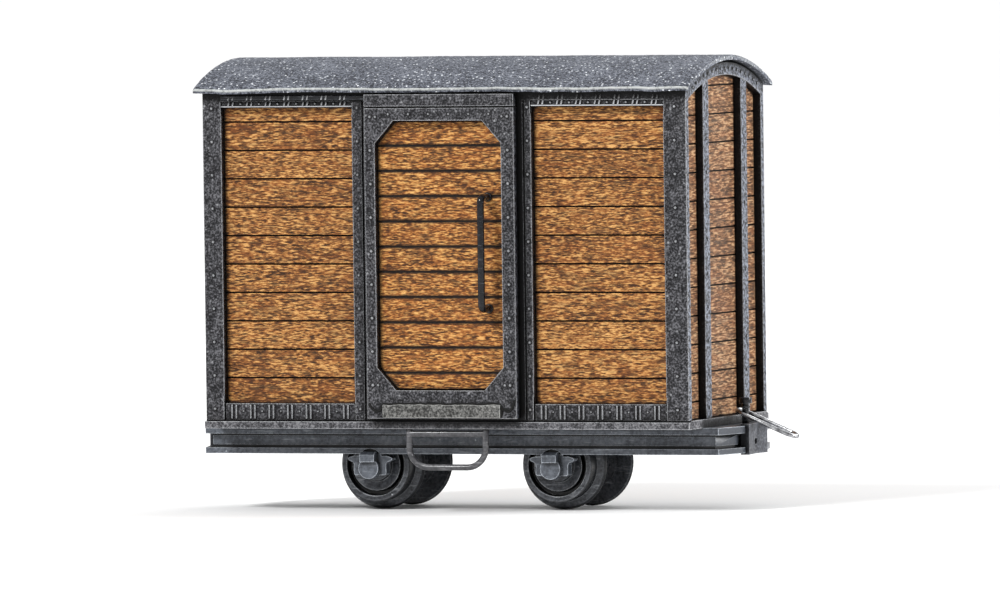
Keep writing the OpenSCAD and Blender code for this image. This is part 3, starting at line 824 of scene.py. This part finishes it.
def wagon_rivets(name, turned):
    """Rivets on the posts of one side, and on its rails a bead, pairs of ribs and rivets between them."""
    shape = Shape()
    for x in POST_RIVETS_X:
        height = UNDER_DOOR_RIVET_H if x == UNDER_DOOR_X else POST_RIVET_H
        for k in range(10):
            shape.dome((x, -SIDE_Y, RIVET_FOOT_Z + RIVET_PITCH * k), FRONT, 0.14, height)
    for low, high in WINDOWS:
        # The highest ribs stand on the door's track over one window, and on the posts' face over the other
        top_back, top_front = (SIDE_Y + 0.2, TRACK_Y + 0.03) if low < 0 else (SIDE_Y - 0.02, SIDE_Y + 0.06)
        bead_low = (low, -RAIL_Y - 0.06, WINDOW_BEAD_Z[0])
        bead_high = (high, -RAIL_Y + 0.02, WINDOW_BEAD_Z[1])
        shape.block(bead_low, bead_high, 0.8)
        count = round((high - low) / RIB_PAIR_PITCH)
        for k in range(count):
            x = low + (high - low) * (k + 0.5) / count
            for side in (-RIB_APART, RIB_APART):
                shape.rib(x + side, LOW_RIBS_Z, RAIL_Y - 0.02, RAIL_Y + 0.08, pale=0.15)
                shape.rib(x + side, HIGH_RIBS_Z, RAIL_Y - 0.02, RAIL_Y + 0.09, RIB_LEAN)
                shape.rib(x + side + 0.1, TOP_RIBS_Z, top_back, top_front, RIB_LEAN)
            shape.dome((x + 0.7, -RAIL_Y, LOW_RAIL_RIVET_Z), FRONT, 0.09, 0.07)
            shape.dome((x + 0.75, -RAIL_Y, HIGH_RAIL_RIVET_Z), FRONT, 0.12, 0.09)
    shape.make(name, "frame_grey", "wagon", (), turned)


def door_rivets(name, body, turned):
    """Rivets round one door's frame."""
    shape = Shape()
    for side in (-1, 1):
        for k in range(9):
            z = DOOR_RIVET_FOOT_Z + RIVET_PITCH * k
            shape.dome((side * DOOR_RIVET_X, -DOOR_OUT, z), FRONT, 0.15, 0.1)
            if k in (0, 8):
                shape.dome((side * DOOR_INNER_RIVET_X, -DOOR_OUT, z), FRONT, 0.13, 0.09)
    for k in range(6):
        x = -3.75 + 1.5 * k
        shape.dome((x, -DOOR_OUT, DOOR_TOP_RIVET_Z), FRONT, 0.11, 0.08)
    shape.make(name, "frame_grey", body, (), turned)


def bow_rivets(name, turned):
    """Rivets along the arched bow and down the posts of one end."""
    shape = Shape()
    for k in range(-8, 9):
        angle = BOW_RIVET_STEP * k
        y = math.sin(angle) * BOW_RIVET_R
        z = ROOF_CENTRE_Z + math.cos(angle) * BOW_RIVET_R
        shape.dome((BODY_X, y, z), RIGHT, 0.11, 0.09)
    for side in (-1, 1):
        for k in range(9):
            shape.dome((BODY_X, side * POST_Y, RIVET_FOOT_Z + RIVET_PITCH * k), RIGHT, 0.11, 0.09)
    shape.make(name, "frame_grey", "wagon", (), turned)


def kick_plate(name, body, node, turned):
    """The plate over the foot of one door, its upper edge a little wavy and dark, with cracks beside it."""
    shape = Shape()
    back, front = -DOOR_OUT + 0.01, -KICK_Y + 0.01
    columns = 44
    rings = []
    for c in range(columns + 1):
        x = KICK_X[0] + (KICK_X[1] - KICK_X[0]) * c / columns
        long_wave = noise.noise(Vector((x * 0.9, 2.0, 4.0)))
        short_wave = noise.noise(Vector((x * 2.7, 6.0, 4.0)))
        top = KICK_Z[1] - 0.02 + 0.09 * long_wave + 0.05 * short_wave
        rounded = front + (0.02 if 0 < c < columns else 0.05)
        # Foot, lower edge, face, upper edge and the dark band above it, each as y, z, rim and seam
        section = [(back, KICK_Z[0] + 0.02, 0.0, 1.0), (rounded, KICK_Z[0] + 0.02, 0.5, 0.0)]
        section.append((front, KICK_Z[0] + 0.07, 0.0, 0.0))
        for z in (6.95, 7.2):
            section.append((front + 0.012 * noise.noise(Vector((x * 2.0, z * 3.0, 1.0))), z, 0.0, 0.0))
        section += [(front, top - 0.05, 0.0, 0.0), (rounded, top, 0.5, 0.0)]
        section += [(back - 0.06, top + 0.01, 0.0, 1.0), (back - 0.06, top + 0.1, 0.0, 1.0)]
        section.append((back, top + 0.11, 0.0, 1.0))
        rings.append([shape.point((x, y, z), rim=rim, seam=seam) for y, z, rim, seam in section])
    shape.tube(rings)
    for crack in KICK_CRACKS:
        shape.ribbon(crack, back + 0.01, back - 0.07, 0.055)
    shape.make(name, "kick_grey", body, (node,), turned)


def pin_collar(name, body, turned):
    """A thin collar round a coupling pin, under its head."""
    shape = Shape()
    low, high = (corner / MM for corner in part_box("coupling_pin_right"))
    x, y = (low.x + high.x) / 2, (low.y + high.y) / 2
    turns = [math.tau * k / 24 for k in range(24)]
    rings = []
    for radius, z in COLLAR_PROFILE:
        rings.append([
            shape.point((x + radius * math.cos(turn), y + radius * math.sin(turn), z)) for turn in turns
        ])
    shape.tube(rings)
    shape.make(name, "dark_fittings", body, (), turned)


# ---------------------------------------------------------------- the wagon

random.seed(87)

# CAD pieces that a visual piece stands for
REPLACED = {
    "panel_front_left", "panel_front_right", "panel_back_left", "panel_back_right",
    "end_panel_left", "end_panel_right", "door_planks_front", "door_planks_back",
    "floor_boards", "roof", "door_kick_plate_front", "door_kick_plate_back",
}
# Widths of softened edges
EDGE = 0.04
FINE_EDGES = {
    "coupling_link": 0.01, "chassis_screws": 0.02, "door_hooks_front": 0.02, "door_hooks_back": 0.02,
}
for node in frame["nodes"]:
    if node not in REPLACED:
        dress(node, FINE_EDGES.get(node, EDGE))

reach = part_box("panel_front_right")[1].x / MM
inner = DOORWAY_X + WALL_BEHIND_FRAME
planked_wall("planks_front_left", (-reach, -inner), "panel_front_left", False)
planked_wall("planks_front_right", (inner, reach), "panel_front_right", False)
planked_wall("planks_back_right", (-reach, -inner), "panel_back_right", True)
planked_wall("planks_back_left", (inner, reach), "panel_back_left", True)
planked_end("planks_end_right", "end_panel_right", False)
planked_end("planks_end_left", "end_panel_left", True)
planked_door("planks_door_front", "door_front", "door_planks_front", False)
planked_door("planks_door_back", "door_back", "door_planks_back", True)
floor_planks()
felt_roof()
wagon_rivets("rivets_side_front", False)
wagon_rivets("rivets_side_back", True)
door_rivets("rivets_door_front", "door_front", False)
door_rivets("rivets_door_back", "door_back", True)
bow_rivets("rivets_end_right", False)
bow_rivets("rivets_end_left", True)
kick_plate("kick_plate_front", "door_front", "door_kick_plate_front", False)
kick_plate("kick_plate_back", "door_back", "door_kick_plate_back", True)
pin_collar("pin_collar_right", "pin_right", False)
pin_collar("pin_collar_left", "wagon", True)


# ---------------------------------------------------------------- floor, light and camera


def floor_finish():
    """A pale matt floor with the faintest mottling."""
    f = Finish("floor_finish", Specular_IOR_Level=0.2)
    tone = f.noise((0.02, 0.02, 0.02), 3.0, 0.5)
    return f.done(f.colours(tone, (0.3, 0.9, 0.9, 0.9), (0.7, 0.93, 0.93, 0.93)), 0.8)


def pale_floor():
    """A floor so large, in metres, that its edge is never seen."""
    mesh = bpy.data.meshes.new("studio_floor")
    half = 14.0
    corners = [(-half, -half, 0), (half, -half, 0), (half, half, 0), (-half, half, 0)]
    mesh.from_pydata(corners, [], [(0, 1, 2, 3)])
    mesh.materials.append(floor_finish())
    made = bpy.data.objects.new("studio_floor", mesh)
    bpy.context.scene.collection.objects.link(made)


def toward(azimuth, elevation):
    """The way from the wagon to a light. Azimuth 0 is in front and 90 on the right."""
    a, e = math.radians(azimuth), math.radians(elevation)
    return Vector((math.sin(a) * math.cos(e), -math.cos(a) * math.cos(e), math.sin(e)))


def light(name, kind, azimuth, elevation, power, **settings):
    """A soft light that looks at the middle of the wagon from 0.6 m away."""
    data = bpy.data.lights.new(name, kind)
    data.energy = power
    for key, value in settings.items():
        setattr(data, key, value)
    made = bpy.data.objects.new(name, data)
    bpy.context.scene.collection.objects.link(made)
    back = toward(azimuth, elevation)
    made.location = Vector((0, 0, 0.018)) + back * 0.6
    made.rotation_mode = "QUATERNION"
    made.rotation_quaternion = (-back).to_track_quat("-Z", "Y")
    made.visible_camera = False


def studio():
    """White surroundings, a soft key light from the upper left, and lights from the right and the back."""
    world = bpy.data.worlds.new("studio")
    world.use_nodes = True
    background = world.node_tree.nodes["Background"]
    background.inputs["Color"].default_value = (1.0, 1.0, 1.0, 1.0)
    background.inputs["Strength"].default_value = 0.6
    bpy.context.scene.world = world
    bpy.context.scene.view_settings.view_transform = "Standard"
    light("key", "SUN", -24, 40, 2.7, angle=math.radians(16))
    light("right", "AREA", 104, 16, 3.0, size=0.16)
    light("back", "AREA", 165, 35, 1.2, size=0.3)


def camera():
    """A long lens from a metre away, a little above the rails and to the right."""
    yaw, pitch, roll = (math.radians(angle) for angle in (20.117, 1.987, -0.71))
    ahead = Vector((-math.sin(yaw) * math.cos(pitch), math.cos(yaw) * math.cos(pitch), -math.sin(pitch)))
    level = Vector((math.cos(yaw), math.sin(yaw), 0))
    upright = level.cross(ahead)
    right = level * math.cos(roll) + upright * math.sin(roll)
    up = upright * math.cos(roll) - level * math.sin(roll)
    data = bpy.data.cameras.new("photo_view")
    data.sensor_width = 36.0
    data.lens = 507.2
    data.clip_start, data.clip_end = 0.05, 40.0
    made = bpy.data.objects.new("photo_view", data)
    bpy.context.scene.collection.objects.link(made)
    turn = Matrix((right, up, -ahead)).transposed()
    made.matrix_world = Matrix.Translation((0.34265, -0.93256, 0.04867)) @ turn.to_4x4()
    bpy.context.scene.camera = made


pale_floor()
studio()
camera()
